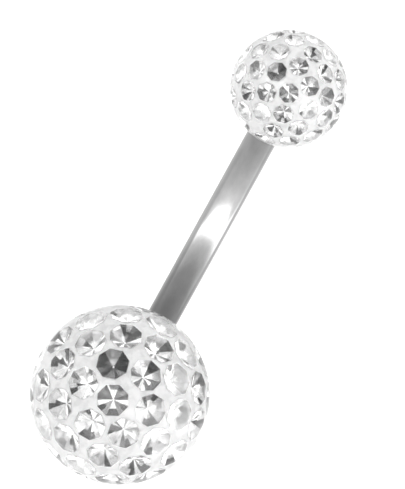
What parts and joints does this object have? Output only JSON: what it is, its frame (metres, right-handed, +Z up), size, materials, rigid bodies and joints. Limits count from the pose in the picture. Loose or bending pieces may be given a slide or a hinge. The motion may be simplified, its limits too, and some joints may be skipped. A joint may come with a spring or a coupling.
{
  "type": "navel ring",
  "caption": "Curved steel bar with a round crystal-set ball under a clear coat screwed onto each end, the lower ball larger.",
  "frame": {"origin": "on the floor, below the middle of the ring as it lies by itself", "axes": "+X from the large ball to the small one along the floor, +Z up; the bend opens upward and towards -Y"},
  "size_m": [0.0248, 0.009, 0.009],
  "materials": {
    "polished_steel": "polished",
    "insert_steel": "machined",
    "white_clay": "matte",
    "foiled_crystal": "cut and foiled",
    "clear_resin": "clear gloss"
  },
  "bodies": {
    "bar": {"bar": "polished_steel"},
    "large_screw": {"large_insert": "insert_steel"},
    "large_ball": {"large_core": "white_clay", "large_stones": "foiled_crystal", "large_coat": "clear_resin"},
    "small_screw": {"small_insert": "insert_steel"},
    "small_ball": {"small_core": "white_clay", "small_stones": "foiled_crystal", "small_coat": "clear_resin"}
  },
  "joints": [
    {"name": "large_advance", "type": "slide", "parent": "bar", "child": "large_screw", "axis": [-0.8486, -0.2337, 0.4746], "range_m": [0, 0.0028]},
    {"name": "large_unscrew", "type": "hinge", "parent": "large_screw", "child": "large_ball", "pos_m": [-0.00793, 0, 0.0045], "axis": [-0.8486, -0.2337, 0.4746], "range_deg": [0, 2880]},
    {"name": "small_advance", "type": "slide", "parent": "bar", "child": "small_screw", "axis": [0.8808, -0.2727, 0.3871], "range_m": [0, 0.0028]},
    {"name": "small_unscrew", "type": "hinge", "parent": "small_screw", "child": "small_ball", "pos_m": [0.00948, 0, 0.00295], "axis": [0.8808, -0.2727, 0.3871], "range_deg": [0, 2880]}
  ],
  "couplings": [
    {"joint": "large_unscrew", "follows": "large_advance", "rad_per_m": 17952},
    {"joint": "small_unscrew", "follows": "small_advance", "rad_per_m": 17952}
  ]
}
